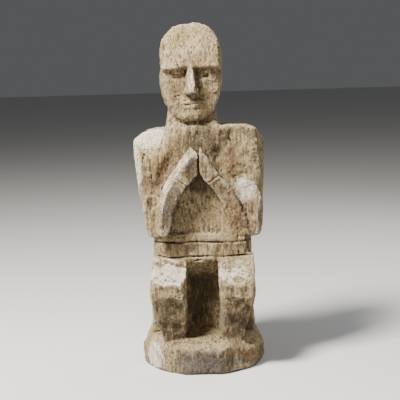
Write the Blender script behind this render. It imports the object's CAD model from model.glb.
"""Carved ancestor figure: one round log hewn into masses, then crusted, rubbed and stained by use.

The whole carving is worked as one block of wood, held as a grid of signed distances in millimetres
that are negative inside. Each sub-assembly hews its masses into the block and carves its details,
and then claims the wood that belongs to each of its pieces. The block's skin is drawn last, as one
closed mesh for each piece, with the skin running unbroken from one piece to the next.
"""

import sys
import logging
import math
from dataclasses import dataclass, field
from enum import Enum
from typing import Any, Iterator, Sequence

import bpy
import numpy as np
from mathutils import Matrix, Vector


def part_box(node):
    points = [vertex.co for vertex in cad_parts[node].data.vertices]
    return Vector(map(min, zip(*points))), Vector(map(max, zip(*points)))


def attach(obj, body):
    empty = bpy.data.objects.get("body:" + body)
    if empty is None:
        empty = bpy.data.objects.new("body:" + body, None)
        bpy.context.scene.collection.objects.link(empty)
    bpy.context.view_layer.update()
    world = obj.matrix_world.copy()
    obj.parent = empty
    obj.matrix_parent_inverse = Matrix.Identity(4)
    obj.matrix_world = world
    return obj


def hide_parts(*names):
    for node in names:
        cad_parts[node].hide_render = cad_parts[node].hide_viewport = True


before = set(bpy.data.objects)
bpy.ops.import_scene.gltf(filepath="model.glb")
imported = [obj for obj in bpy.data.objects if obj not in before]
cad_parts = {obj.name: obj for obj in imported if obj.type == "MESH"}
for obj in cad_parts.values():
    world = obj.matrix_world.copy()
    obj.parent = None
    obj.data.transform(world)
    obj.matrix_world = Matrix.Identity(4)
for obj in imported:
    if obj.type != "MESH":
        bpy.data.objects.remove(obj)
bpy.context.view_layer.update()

log = logging.getLogger("figure")

MM = 0.001
FAR = 30.0  # distance stored where there is only air, in millimetres
MARGIN = 10.0  # room left round a mass, in millimetres
FINE_STEP = 1.2  # between the block's points, in millimetres
BODY = "root"

Triple = tuple[float, float, float]
Pair = tuple[float, float]


class Side(Enum):
    """The figure's own two sides; the value is the sign of X."""

    LEFT = 1
    RIGHT = -1

    @property
    def word(self) -> str:
        """The side's name, as the nodes spell it."""
        return self.name.lower()


class Mask(Enum):
    """What is stored at each point of the skin for the finishes to read."""

    HOLLOW = "hollow"
    UP = "up"
    CREASE = "crease"
    SOOT = "soot"
    RUST = "rust"
    CHALK = "chalk"
    LICHEN = "lichen"


# ---------------------------------------------------------------------------------------------
# The block of wood
# ---------------------------------------------------------------------------------------------


@dataclass(frozen=True)
class Extent:
    """Lowest and highest corner of a CAD node, in millimetres."""

    low: Triple
    high: Triple

    @classmethod
    def of(cls, *nodes: str) -> "Extent":
        """Reads the box round some CAD nodes.

        Args:
            nodes: names of CAD nodes.

        Returns:
            The box that holds them all.
        """
        corners = [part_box(node) for node in nodes]
        low = tuple(min(c[0][i] for c in corners) / MM for i in range(3))
        high = tuple(max(c[1][i] for c in corners) / MM for i in range(3))
        return cls(low, high)

    @property
    def middle(self) -> Triple:
        """The box's middle."""
        return tuple((a + b) / 2 for a, b in zip(self.low, self.high))


@dataclass
class Patch:
    """A part of the block, with the places of its points."""

    where: tuple[slice, slice, slice]
    x: np.ndarray
    y: np.ndarray
    z: np.ndarray

    def face(self, normal: Triple, point: Triple) -> np.ndarray:
        """Distance beyond a flat face.

        Args:
            normal: outward direction of the face, of any length.
            point: a point on it.

        Returns:
            Distances, negative behind the face.
        """
        size = math.sqrt(sum(n * n for n in normal))
        terms = zip((self.x, self.y, self.z), normal, point)
        return sum((axis - at) * (n / size) for axis, n, at in terms if n)

    def ball(self, centre: Triple, radii: Triple) -> np.ndarray:
        """Distance to an ellipsoid, good near its surface.

        Args:
            centre: its middle.
            radii: its half sizes.

        Returns:
            Distances, negative inside.
        """
        terms = list(zip((self.x, self.y, self.z), centre, radii))
        first = np.sqrt(sum(((axis - at) / r) ** 2 for axis, at, r in terms)) + 1e-6
        slope = np.sqrt(sum(((axis - at) / r**2) ** 2 for axis, at, r in terms)) + 1e-6
        return first * (first - 1) / slope

    def rod(self, start: Triple, end: Triple, radius: float) -> np.ndarray:
        """Distance to a rod with round ends.

        Args:
            start: one end of its middle line.
            end: the other end.
            radius: the rod's radius.

        Returns:
            Distances, negative inside.
        """
        run = [b - a for a, b in zip(start, end)]
        length = sum(r * r for r in run)
        away = (self.x - start[0], self.y - start[1], self.z - start[2])
        share = np.clip(sum(a * r for a, r in zip(away, run)) / length, 0, 1)
        return np.sqrt(sum((a - r * share) ** 2 for a, r in zip(away, run))) - radius


def soft_min(a: np.ndarray, b: np.ndarray, soft: float) -> np.ndarray:
    """Union of two distances.

    Args:
        a: one distance.
        b: the other.
        soft: width of the fillet between them, or 0 for none.

    Returns:
        The joined distance.
    """
    if soft <= 0:
        return np.minimum(a, b)
    share = np.clip(0.5 + 0.5 * (b - a) / soft, 0, 1)
    return b + (a - b) * share - soft * share * (1 - share)


def soft_max(*parts: np.ndarray, soft: float) -> np.ndarray:
    """Intersection of distances, with its edges rounded over.

    Args:
        parts: the distances.
        soft: width of the rounding.

    Returns:
        The distance to what they share.
    """
    whole = parts[0]
    for part in parts[1:]:
        whole = -soft_min(-whole, -part, soft)
    return whole


def spline_weights(places: np.ndarray, spacing: float) -> np.ndarray:
    """Weights of a cubic spline's knots at given places along one axis.

    Args:
        places: where the spline is read.
        spacing: distance between knots.

    Returns:
        One row of weights for each place.
    """
    at = (places - places[0]) / spacing
    knot = np.floor(at).astype(int)
    f = at - knot
    parts = ((1 - f) ** 3, 3 * f**3 - 6 * f**2 + 4, -3 * f**3 + 3 * f**2 + 3 * f + 1, f**3)
    weights = np.zeros((len(places), knot[-1] + 4), np.float32)
    for offset, part in enumerate(parts):
        weights[np.arange(len(places)), knot + offset] += part / 6
    return weights


def sliding_mean(values: np.ndarray, reach: int) -> np.ndarray:
    """Mean over a cube round each point.

    Args:
        values: the grid.
        reach: the cube's half width in points.

    Returns:
        The smoothed grid.
    """
    for axis in range(3):
        ends = [(0, 0)] * 3
        ends[axis] = (reach + 1, reach)
        total = np.cumsum(np.pad(values, ends, mode="edge"), axis=axis, dtype=np.float32)
        count = values.shape[axis]
        near = np.take(total, range(2 * reach + 1, 2 * reach + 1 + count), axis=axis)
        values = (near - np.take(total, range(count), axis=axis)) / (2 * reach + 1)
    return values


@dataclass
class Block:
    """The block of wood as a grid of distances, with the name of the piece that owns each point."""

    low: Triple
    high: Triple
    step: float
    sway: float = 0.7
    names: list[str] = field(default_factory=list)

    def __post_init__(self) -> None:
        """Lays out the grid and its hand-made wobble."""
        counts = [int((b - a) / self.step) + 2 for a, b in zip(self.low, self.high)]
        self.axes = [a + self.step * np.arange(n, dtype=np.float32)
                     for a, n in zip(self.low, counts)]
        self.shape = tuple(counts)
        self.distance = np.full(self.shape, FAR, np.float32)
        self.owner = np.zeros(self.shape, np.uint8)
        self.places = [axis.reshape([-1 if i == k else 1 for i in range(3)])
                       + self.sway * self.noise((26, 26, 34), seed)
                       for k, (axis, seed) in enumerate(zip(self.axes, (11, 12, 13)))]

    def noise(self, waves: Triple, seed: int) -> np.ndarray:
        """Smooth random lumps all over the block.

        Args:
            waves: the lumps' size along X, Y and Z.
            seed: picks the pattern.

        Returns:
            Values round 0 with a spread of about 1.
        """
        weights = [spline_weights(a, w / 2) for a, w in zip(self.axes, waves)]
        rng = np.random.default_rng(seed)
        knots = rng.standard_normal([w.shape[1] for w in weights]).astype(np.float32)
        for weight in weights:
            knots = np.tensordot(knots, weight, axes=([0], [1]))
        return knots / 0.33

    def patch(self, low: Sequence[float], high: Sequence[float], margin: float = MARGIN) -> Patch:
        """Cuts out the part of the grid round a box.

        Args:
            low: the box's lowest corner.
            high: its highest corner.
            margin: room left round it.

        Returns:
            The patch.
        """
        spans = []
        for axis, a, b in zip(self.axes, low, high):
            ends = np.searchsorted(axis, (a - margin, b + margin))
            spans.append(slice(int(ends[0]), max(int(ends[1]), int(ends[0]) + 2)))
        where = tuple(spans)
        return Patch(where, *(place[where] for place in self.places))

    def add(self, patch: Patch, distance: np.ndarray, soft: float = 0.0) -> None:
        """Joins a mass to the block.

        Args:
            patch: the part of the block it lies in.
            distance: the mass.
            soft: width of the fillet round its foot.
        """
        self.distance[patch.where] = soft_min(self.distance[patch.where], distance, soft)

    def cut(self, patch: Patch, distance: np.ndarray, soft: float = 0.5) -> None:
        """Takes a shape away from the block.

        Args:
            patch: the part of the block it lies in.
            distance: the shape taken away.
            soft: width of the rounding along the cut's edge.
        """
        here = self.distance[patch.where]
        self.distance[patch.where] = soft_max(here, -distance, soft=soft)

    def score(self, points: Sequence[Triple], width: float, depth: float,
              direction: Triple, soft: float = 0.6) -> None:
        """Cuts a line into the skin along a chain of points that lie on it.

        Args:
            points: the line's points.
            width: the line's width at the skin.
            depth: how deep it goes.
            direction: from the skin outward.
            soft: rounding of its edges.
        """
        out = Vector(direction).normalized()
        for a, b in zip(points, points[1:]):
            low = [min(p, q) - depth - width for p, q in zip(a, b)]
            high = [max(p, q) + depth + width for p, q in zip(a, b)]
            patch = self.patch(low, high, margin=2.0)
            along = (Vector(b) - Vector(a)).normalized()
            across = along.cross(out).normalized()
            middle = (Vector(a) + Vector(b)) / 2
            half = (Vector(b) - Vector(a)).length / 2 + width / 4
            u = patch.face(tuple(across), tuple(middle))
            v = patch.face(tuple(along), tuple(middle))
            w = patch.face(tuple(out), tuple(middle))
            wedge = np.abs(u) - width / 2 * np.clip(1 + w / depth, 0, 1.6)
            self.cut(patch, np.maximum(wedge, np.abs(v) - half), soft)

    def trough(self, path: Sequence[Triple], radius: float, bite: float) -> None:
        """Cuts a soft round trough into the front or the back.

        Args:
            path: points of its middle line, on the skin.
            radius: the trough's radius.
            bite: how deep it goes.
        """
        for a, b in zip(path, path[1:]):
            lift = (radius - bite) * (-1 if a[1] < 0 else 1)
            a, b = ((q[0], q[1] + lift, q[2]) for q in (a, b))
            low, high = ([f(p, q) for p, q in zip(a, b)] for f in (min, max))
            patch = self.patch(low, high, margin=radius + 3)
            self.cut(patch, patch.rod(a, b, radius), soft=4.0)

    def claim(self, name: str, inside: np.ndarray, patch: Patch | None = None) -> None:
        """Gives wood to a piece; a later claim on the same wood wins.

        Args:
            name: the CAD node that the piece stands for.
            inside: true where the wood is the piece's.
            patch: the part of the block that inside covers, or None for all of it.
        """
        if name not in self.names:
            self.names.append(name)
        part = self.owner[patch.where] if patch else self.owner
        part[np.broadcast_to(inside, part.shape)] = self.names.index(name) + 1

    def sample(self, grid: np.ndarray, points: np.ndarray) -> np.ndarray:
        """Reads a grid at any points.

        Args:
            grid: values at the block's points.
            points: places in millimetres, one row each.

        Returns:
            The values there.
        """
        at = (points - np.array(self.low)) / self.step
        knot = np.clip(at.astype(int), 0, np.array(self.shape) - 2)
        f = at - knot
        total = np.zeros(len(points))
        for corner in range(8):
            bit = [(corner >> k) & 1 for k in range(3)]
            share = math.prod(f[:, k] if bit[k] else 1 - f[:, k] for k in range(3))
            total += share * grid[knot[:, 0] + bit[0], knot[:, 1] + bit[1], knot[:, 2] + bit[2]]
        return total

    def on_skin(self, low: Triple, high: Triple, count: int, seed: int) -> Iterator[tuple]:
        """Picks random points of the skin.

        Args:
            low: lowest corner of the box that they lie in.
            high: its highest corner.
            count: how many.
            seed: picks the pattern.

        Yields:
            Each point and the outward direction there.
        """
        where = self.patch(low, high, margin=0.0).where
        part = self.distance[where]
        near = np.argwhere(np.abs(part) < self.step * 0.6)
        rng = np.random.default_rng(seed)
        corner = [s.start for s in where]
        for pick in near[rng.integers(0, len(near), count)]:
            i, j, k = (int(p) + c for p, c in zip(pick, corner))
            if not all(2 < n < size - 3 for n, size in zip((i, j, k), self.shape)):
                continue
            d = self.distance
            slope = Vector((d[i + 2, j, k] - d[i - 2, j, k], d[i, j + 2, k] - d[i, j - 2, k],
                            d[i, j, k + 2] - d[i, j, k - 2]))
            yield Vector(axis[n] for axis, n in zip(self.axes, (i, j, k))), slope.normalized()


# ---------------------------------------------------------------------------------------------
# The skin of the block
# ---------------------------------------------------------------------------------------------


@dataclass
class Skin:
    """The surface of the block: shared points, and the four-sided faces of each piece."""

    block: Block
    points: np.ndarray = field(init=False)
    normals: np.ndarray = field(init=False)
    faces: dict[str, np.ndarray] = field(init=False)
    masks: dict[Mask, np.ndarray] = field(default_factory=dict)

    def __post_init__(self) -> None:
        """Draws the points and faces, and drops loose crumbs."""
        block = self.block
        owner = np.where(block.distance < 0, block.owner, 0).astype(np.uint8)
        self.number = self._place_points(owner)
        quads, owners, outer = self._join(owner)
        keep = self._without_crumbs(quads)
        quads, owners, outer = quads[keep], owners[keep], outer[keep]
        self.faces = {name: quads[owners == k + 1] for k, name in enumerate(block.names)}
        self.normals = self._normals(quads[outer])

    def _place_points(self, owner: np.ndarray) -> np.ndarray:
        """Puts one point in each cell that the skin or a border between pieces crosses.

        Args:
            owner: number of the piece at each grid point, 0 for air.

        Returns:
            The number of each cell's point, or -1.
        """
        spans = [(slice(0, n - 1), slice(1, n)) for n in owner.shape]
        corners = [(i, j, k) for i in (0, 1) for j in (0, 1) for k in (0, 1)]
        first = owner[spans[0][0], spans[1][0], spans[2][0]]
        crossed = np.zeros(first.shape, bool)
        for i, j, k in corners[1:]:
            crossed |= owner[spans[0][i], spans[1][j], spans[2][k]] != first
        cells = np.argwhere(crossed)
        number = np.full(first.shape, -1, np.int32)
        number[crossed] = np.arange(len(cells))

        def read(grid: np.ndarray, corner: tuple[int, int, int]) -> np.ndarray:
            """The grid at one corner of every crossed cell."""
            return grid[tuple(cells[:, k] + corner[k] for k in range(3))]

        skin_sum, border_sum = np.zeros((2, len(cells), 3))
        skin_count, border_count = np.zeros((2, len(cells)))
        for a in corners:
            for axis in (k for k in range(3) if a[k] == 0):
                b = tuple(1 if k == axis else a[k] for k in range(3))
                own_a, own_b = read(owner, a), read(owner, b)
                far_a, far_b = read(self.block.distance, a), read(self.block.distance, b)
                skin = (own_a == 0) != (own_b == 0)
                share = np.clip(far_a / np.where(skin, far_a - far_b, 1), 0.02, 0.98)
                start, run = np.array(a, float), np.array(b, float) - a
                skin_sum[skin] += start + share[skin, None] * run
                skin_count += skin
                border = own_a != own_b
                border_sum[border] += start + 0.5 * run
                border_count += border
        on_skin = skin_count > 0
        total = np.where(on_skin[:, None], skin_sum, border_sum)
        count = np.where(on_skin, skin_count, border_count)
        self.points = np.array(self.block.low) + self.block.step * (cells + total / count[:, None])
        return number

    def _join(self, owner: np.ndarray) -> tuple[np.ndarray, np.ndarray, np.ndarray]:
        """Joins the points round each crossed grid edge into a face of each piece beside it.

        Args:
            owner: number of the piece at each grid point, 0 for air.

        Returns:
            The faces, the number of the piece that owns each, and whether each is on the skin.
        """
        quads, owners, outer = [], [], []
        for axis in range(3):
            u, v = (axis + 1) % 3, (axis + 2) % 3
            near, far = [slice(1, -1)] * 3, [slice(1, -1)] * 3
            near[axis], far[axis] = slice(0, -1), slice(1, None)
            own_a, own_b = owner[tuple(near)], owner[tuple(far)]
            at = np.argwhere(own_a != own_b)
            own_a, own_b = own_a[tuple(at.T)], own_b[tuple(at.T)]
            ring = []
            for du, dv in ((0, 0), (1, 0), (1, 1), (0, 1)):
                cell = at.copy()
                cell[:, u] += du
                cell[:, v] += dv
                ring.append(self.number[tuple(cell.T)])
            ring = np.stack(ring, axis=1)
            for own, other, order in ((own_a, own_b, ring), (own_b, own_a, ring[:, ::-1])):
                solid = own > 0
                quads.append(order[solid])
                owners.append(own[solid])
                outer.append(other[solid] == 0)
        return np.concatenate(quads), np.concatenate(owners), np.concatenate(outer)

    def _without_crumbs(self, quads: np.ndarray) -> np.ndarray:
        """Finds the faces that hang together with most of the figure.

        Args:
            quads: all faces.

        Returns:
            True for each face to keep.
        """
        group = np.arange(len(self.points))
        while True:
            before = group
            lowest = group[quads].min(axis=1)
            group = group.copy()
            np.minimum.at(group, before[quads].ravel(), np.repeat(lowest, 4))
            while not np.array_equal(group, group[group]):
                group = group[group]
            if np.array_equal(group, before):
                break
        found, counts = np.unique(group[quads[:, 0]], return_counts=True)
        return group[quads[:, 0]] == found[np.argmax(counts)]

    def _normals(self, quads: np.ndarray) -> np.ndarray:
        """Smooth normals of the skin.

        Args:
            quads: the faces on the skin.

        Returns:
            One direction for each point.
        """
        a, b, c, d = (self.points[quads[:, k]] for k in range(4))
        flat = np.cross(c - a, d - b)
        total = np.zeros_like(self.points)
        for k in range(3):
            total[:, k] = np.bincount(quads.ravel(), np.repeat(flat[:, k], 4), len(self.points))
        size = np.linalg.norm(total, axis=1, keepdims=True)
        return total / np.maximum(size, 1e-9)

    def piece(self, node: str) -> bpy.types.Object:
        """Makes the object of one piece.

        Args:
            node: the CAD node that the piece stands for.

        Returns:
            The new object, in metres.
        """
        quads = self.faces[node]
        used, corners = np.unique(quads, return_inverse=True)
        mesh = bpy.data.meshes.new(f"carved_{node}")
        mesh.vertices.add(len(used))
        mesh.vertices.foreach_set("co", (self.points[used] * MM).astype(np.float32).ravel())
        mesh.loops.add(quads.size)
        mesh.loops.foreach_set("vertex_index", corners.ravel().astype(np.int32))
        mesh.polygons.add(len(quads))
        mesh.polygons.foreach_set("loop_start", np.arange(0, quads.size, 4, dtype=np.int32))
        mesh.update(calc_edges=True)
        mesh.shade_smooth()
        for mask, values in self.masks.items():
            layer = mesh.attributes.new(mask.value, "FLOAT", "POINT")
            layer.data.foreach_set("value", values[used].astype(np.float32))
        normals = self.normals[used]
        plain = np.linalg.norm(normals, axis=1) < 0.5
        own = np.zeros(len(used) * 3, np.float32)
        mesh.vertices.foreach_get("normal", own)
        normals = np.where(plain[:, None], own.reshape(-1, 3), normals)
        mesh.normals_split_custom_set_from_vertices(normals.astype(np.float32))
        piece = bpy.data.objects.new(f"carved_{node}", mesh)
        bpy.context.scene.collection.objects.link(piece)
        return piece


# ---------------------------------------------------------------------------------------------
# Finishes
# ---------------------------------------------------------------------------------------------


class Wire:
    """A value in a node tree, on which sums are written as Python expressions."""

    def __init__(self, bench: "Bench", socket: bpy.types.NodeSocket) -> None:
        """Wraps a socket of a bench's tree."""
        self.bench = bench
        self.socket = socket

    def _math(self, operation: str, a: Any, b: Any) -> "Wire":
        """Adds one Math node."""
        return self.bench.node("ShaderNodeMath", {"operation": operation}, {0: a, 1: b})

    def __add__(self, other: Any) -> "Wire":
        """Sum."""
        return self._math("ADD", self, other)

    def __radd__(self, other: Any) -> "Wire":
        """Sum with a number first."""
        return self._math("ADD", other, self)

    def __sub__(self, other: Any) -> "Wire":
        """Difference."""
        return self._math("SUBTRACT", self, other)

    def __rsub__(self, other: Any) -> "Wire":
        """Difference with a number first."""
        return self._math("SUBTRACT", other, self)

    def __mul__(self, other: Any) -> "Wire":
        """Product."""
        return self._math("MULTIPLY", self, other)

    def __rmul__(self, other: Any) -> "Wire":
        """Product with a number first."""
        return self._math("MULTIPLY", other, self)

    def between(self, low: float, high: float) -> "Wire":
        """Runs smoothly from 0 at low to 1 at high."""
        settings = {"interpolation_type": "SMOOTHSTEP"}
        return self.bench.node("ShaderNodeMapRange", settings, {0: self, 1: low, 2: high})

    def held(self) -> "Wire":
        """The value kept between 0 and 1."""
        return self.bench.node("ShaderNodeClamp", {}, {0: self})


class Bench:
    """The node tree of one material."""

    def __init__(self, material: bpy.types.Material) -> None:
        """Empties the material's tree.

        Args:
            material: the material to build.
        """
        material.use_nodes = True
        self.tree = material.node_tree
        self.tree.nodes.clear()

    def node(self, kind: str, settings: dict[str, Any], sockets: dict[int | str, Any],
             out: int | str = 0) -> Wire:
        """Makes one node.

        Args:
            kind: the node's type.
            settings: its properties, which are set first.
            sockets: a value or a Wire for each input, by name or number.
            out: the output that is handed back.

        Returns:
            That output.
        """
        node = self.tree.nodes.new(kind)
        for name, value in settings.items():
            setattr(node, name, value)
        for name, value in sockets.items():
            if isinstance(value, Wire):
                self.tree.links.new(value.socket, node.inputs[name])
            else:
                node.inputs[name].default_value = value
        return Wire(self, node.outputs[out]) if node.outputs else Wire(self, node.inputs[0])

    def mask(self, mask: Mask) -> Wire:
        """Reads what is stored on the skin."""
        return self.node("ShaderNodeAttribute", {"attribute_name": mask.value}, {}, out="Fac")

    def noise(self, place: Wire, scale: float, detail: float = 4.0, rough: float = 0.6) -> Wire:
        """Random clouds, from 0 to 1.

        Args:
            place: the coordinates.
            scale: clouds in a metre.
            detail: how many finer layers.
            rough: their strength.

        Returns:
            The clouds.
        """
        sockets = {"Vector": place, "Scale": scale, "Detail": detail, "Roughness": rough}
        return self.node("ShaderNodeTexNoise", {}, sockets, out="Fac")

    def stretched(self, place: Wire, factors: Triple, shift: float = 0.0) -> Wire:
        """Scales the coordinates for patterns that run along one axis."""
        sockets = {0: place, 1: factors, 2: (shift, shift, shift)}
        return self.node("ShaderNodeVectorMath", {"operation": "MULTIPLY_ADD"}, sockets)

    def over(self, under: Any, top: Any, amount: Any) -> Wire:
        """Lays one colour over another.

        Args:
            under: the colour below.
            top: the colour above.
            amount: how much of the top one shows.

        Returns:
            The mixed colour.
        """
        settings = {"data_type": "RGBA"}
        return self.node("ShaderNodeMix", settings, {0: amount, 6: under, 7: top}, out=2)


def tint(red: float, green: float, blue: float) -> tuple[float, float, float, float]:
    """An opaque colour."""
    return (red, green, blue, 1.0)


@dataclass(frozen=True)
class Finish:
    """Dry old wood under a dusty clay crust, rubbed pale on its edges and dark in its hollows."""

    slot: str
    crust: tuple = tint(0.29, 0.205, 0.10)
    dust: tuple = tint(0.50, 0.395, 0.222)
    wood: tuple = tint(0.092, 0.060, 0.035)
    grime: tuple = tint(0.035, 0.022, 0.013)
    rust: tuple = tint(0.20, 0.085, 0.038)
    chalk: tuple = tint(0.88, 0.80, 0.66)
    lichen: tuple = tint(0.45, 0.45, 0.42)
    bare: float = 0.55
    roughness: float = 0.88
    grain_depth: float = 0.5
    pit_depth: float = 0.6

    def material(self) -> bpy.types.Material:
        """Builds the node material.

        Returns:
            The material.
        """
        material = bpy.data.materials.new(self.slot)
        bench = Bench(material)
        place = bench.node("ShaderNodeTexCoord", {}, {}, out="Object")
        hollow, crease, up = (bench.mask(m) for m in (Mask.HOLLOW, Mask.CREASE, Mask.UP))
        grain = bench.noise(bench.stretched(place, (1, 1, 0.07)), 620, 4, 0.7)
        streak = bench.noise(bench.stretched(place, (1, 1, 0.22), 3.1), 120, 5, 0.65)
        clouds = bench.noise(bench.stretched(place, (1, 1, 0.8), 7.7), 30, 6, 0.7)
        speckle = bench.noise(place, 470, 4, 0.8)
        grit = bench.noise(place, 800, 3, 0.75)
        pits = self._pits(bench, place)

        colour = bench.over(self.crust, self.dust, (clouds + up * 0.10).between(0.46, 0.68))
        bare = (streak + clouds * 0.5 + crease * 0.6 - hollow * 0.2 - up * 0.15)
        colour = bench.over(colour, self.wood, bare.between(0.66, 0.95) * self.bare)
        colour = bench.over(colour, self.rust, self._patch(bench, Mask.RUST, speckle, clouds) * 0.75)
        colour = bench.over(colour, self.lichen, self._patch(bench, Mask.LICHEN, speckle, grit))
        edge = (0.0 - hollow).between(0.12, 0.42) * streak.between(0.42, 0.62)
        chalk = self._patch(bench, Mask.CHALK, speckle, streak)
        colour = bench.over(colour, self.chalk, (edge * 0.5 + chalk * 0.85).held())
        dirt = (crease * 1.4 + hollow * 1.1 + speckle * 0.8 - 0.42).between(0.05, 0.7)
        colour = bench.over(colour, self.grime, dirt * 0.8)
        soot = self._patch(bench, Mask.SOOT, speckle, streak)
        colour = bench.over(colour, self.grime, soot * 0.8)
        flakes = bench.noise(bench.stretched(place, (1, 1, 0.6), 1.7), 230, 5, 0.8)
        dark = speckle * 0.55 + flakes * 0.5 + grain * 0.42 + grit * 0.15 + up * 0.03
        colour = bench.over(colour, self.wood, 0.9 - dark.between(0.655, 0.775) * 0.97)
        light = (speckle * 0.5 + grit * 0.35 + flakes * 0.35 + up * 0.05).between(0.60, 0.70)
        colour = bench.over(colour, self.dust, light * (0.8 - soot * 0.7 - chalk * 0.6).held())
        fibre = bench.noise(bench.stretched(place, (1, 1, 0.22), 4.4), 330, 4, 0.7)
        worn = clouds.between(0.36, 0.62) * 0.35 + 0.4
        colour = bench.over(colour, self.wood, fibre.between(0.51, 0.60) * (worn - chalk * 0.3).held())
        pale = (1 - fibre).between(0.53, 0.63) * (0.5 - soot * 0.3 - chalk * 0.45).held()
        colour = bench.over(colour, self.dust, pale)
        colour = bench.over(colour, self.grime, pits * 0.85)

        height = grain * self.grain_depth + speckle * 1.1 + grit * 0.3 - fibre * 1.2
        height = height - pits * self.pit_depth
        sockets = {"Strength": 1.0, "Distance": 0.003, "Height": height}
        normal = bench.node("ShaderNodeBump", {}, sockets)
        rough = self.roughness + speckle * 0.1 - 0.05
        sockets = {"Base Color": colour, "Roughness": rough, "Normal": normal,
                   "Specular IOR Level": 0.25}
        surface = bench.node("ShaderNodeBsdfPrincipled", {}, sockets)
        bench.node("ShaderNodeOutputMaterial", {}, {"Surface": surface})
        return material

    def _pits(self, bench: Bench, place: Wire) -> Wire:
        """Scattered worm holes and pores, 1 in each pit.

        Args:
            bench: the material's bench.
            place: the coordinates.

        Returns:
            The pits.
        """
        jitter = {"Vector": place, "Scale": 230, "Randomness": 1.0}
        cells = bench.node("ShaderNodeTexVoronoi", {"feature": "F1"}, jitter, out="Distance")
        patches = bench.noise(place, 48, 3, 0.6)
        return (1 - cells.between(0.10, 0.26)) * patches.between(0.42, 0.58)

    def _patch(self, bench: Bench, mask: Mask, fine: Wire, coarse: Wire) -> Wire:
        """A stain with a broken edge: the stored mask eaten into by random clouds.

        Args:
            bench: the material's bench.
            mask: the stain.
            fine: small clouds.
            coarse: larger clouds.

        Returns:
            The stain's strength.
        """
        stored = bench.mask(mask)
        ragged = stored * 1.3 + (fine - 0.5) * 2.6 + (coarse - 0.5) * 2.2
        return (ragged - 0.45).between(0.0, 0.7) * stored.between(0.02, 0.3)


CRUSTED = Finish("crusted_wood")
WORN = Finish("worn_wood", bare=0.75, roughness=0.8)
PLINTH = Finish("plinth_wood", bare=0.65)


# ---------------------------------------------------------------------------------------------
# Sub-assemblies
# ---------------------------------------------------------------------------------------------


@dataclass
class Assembly:
    """What the sub-assemblies share: a list of pieces with one finish each."""

    finishes: dict[str, Finish] = field(default_factory=dict)

    def hew(self, block: Block) -> None:
        """Adds the masses to the block."""

    def carve(self, block: Block) -> None:
        """Cuts the details."""

    def incise(self, block: Block) -> None:
        """Cuts the lines that wear has not softened."""

    def claim(self, block: Block) -> None:
        """Names the wood of each piece."""

    def dress(self, skin: Skin, materials: dict[str, bpy.types.Material]) -> None:
        """Makes the pieces and gives them their finishes.

        Args:
            skin: the carving's surface.
            materials: the material of each slot.
        """
        for node, finish in self.finishes.items():
            piece = skin.piece(node)
            piece.data.materials.append(materials[finish.slot])
            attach(piece, BODY)
            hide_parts(node)
            log.info("%s: %d faces, %s", piece.name, len(piece.data.polygons), finish.slot)


@dataclass
class Plinth(Assembly):
    """The domed round plinth."""

    finishes: dict[str, Finish] = field(default_factory=lambda: {"base": PLINTH})
    rim_front: float = 33.0
    rim_corner: float = 27.0
    rim_side: float = 20.0
    facets: int = 15
    hewn: float = 0.8
    foot_worn: float = 3.5
    edge: float = 1.6
    facet_bite: float = 0.10
    left_facet_cut: float = 4.0
    corner_fall: float = 13.0

    def hew(self, block: Block) -> None:
        """Turns the log's foot into a rim with a domed top.

        Args:
            block: the block of wood.
        """
        size = Extent.of("base")
        seat = Extent.of("seat_block")
        shin = Extent.of("left_shin")
        radius, top, front = size.high[0], size.high[2], size.low[1]
        p = block.patch(size.low, size.high)
        across = np.sqrt(p.x**2 + p.y**2)
        parts = [across - radius, p.z - top, p.face((0, -1, 0), size.low)]
        parts.append(p.face((0, 1, 0), size.high))
        rng = np.random.default_rng(5)
        for k in range(self.facets):
            turn = math.radians(360 / self.facets * (k + rng.uniform(-0.3, 0.3)))
            out = (math.cos(turn), math.sin(turn), 0.0)
            share = self.facet_bite * math.radians(360 / self.facets) ** 2
            reach = radius * (1 - share) + rng.uniform(-1, 1)
            parts.append(p.face(out, tuple(reach * c for c in out)))
        left_facet = Vector((-0.866, -0.5, 0))
        parts.append(p.face(tuple(left_facet), tuple(left_facet * (radius - self.left_facet_cut))))
        for side in (1, -1):
            corner = Vector((side * 0.707, -0.707, 0))
            slope = corner * (top - self.rim_corner) + Vector((0, 0, self.corner_fall))
            at = corner * radius
            parts.append(p.face(tuple(slope), (at.x, at.y, self.rim_corner)))
        rise = top - self.rim_front
        run = shin.low[1] + Leg.foot_back + 3 - front
        parts.append(p.face((0, -rise, run), (0, front, self.rim_front)))
        parts.append(p.face((0, rise, size.high[1] - seat.high[1] - 4),
                            (0, size.high[1], self.rim_front - 2)))
        for side in (1, -1):
            fall = top - self.rim_side - (0 if side > 0 else 3)
            parts.append(p.face((side * fall, 0, radius - seat.high[0] + 3),
                                (side * radius, 0, top - fall)))
        whole = soft_max(*parts, soft=self.edge)
        worn = p.face((0, 0, -1), (0, 0, 0))
        under = (across - radius + self.foot_worn - p.z) * 0.7
        block.add(p, soft_max(whole, under, worn, soft=2.5))

    def carve(self, block: Block) -> None:
        """Chips the rim.

        Args:
            block: the block of wood.
        """
        size = Extent.of("base")
        for at, out in block.on_skin((size.low[0], size.low[1], 3), size.high, 46, 21):
            scoop = Scoop(at, out, radius=40, depth=self.hewn)
            if scoop.clear(block):
                scoop.cut(block)

    def claim(self, block: Block) -> None:
        """All the wood below the feet."""
        block.claim("base", block.places[2] < Extent.of("base").high[2])


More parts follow.
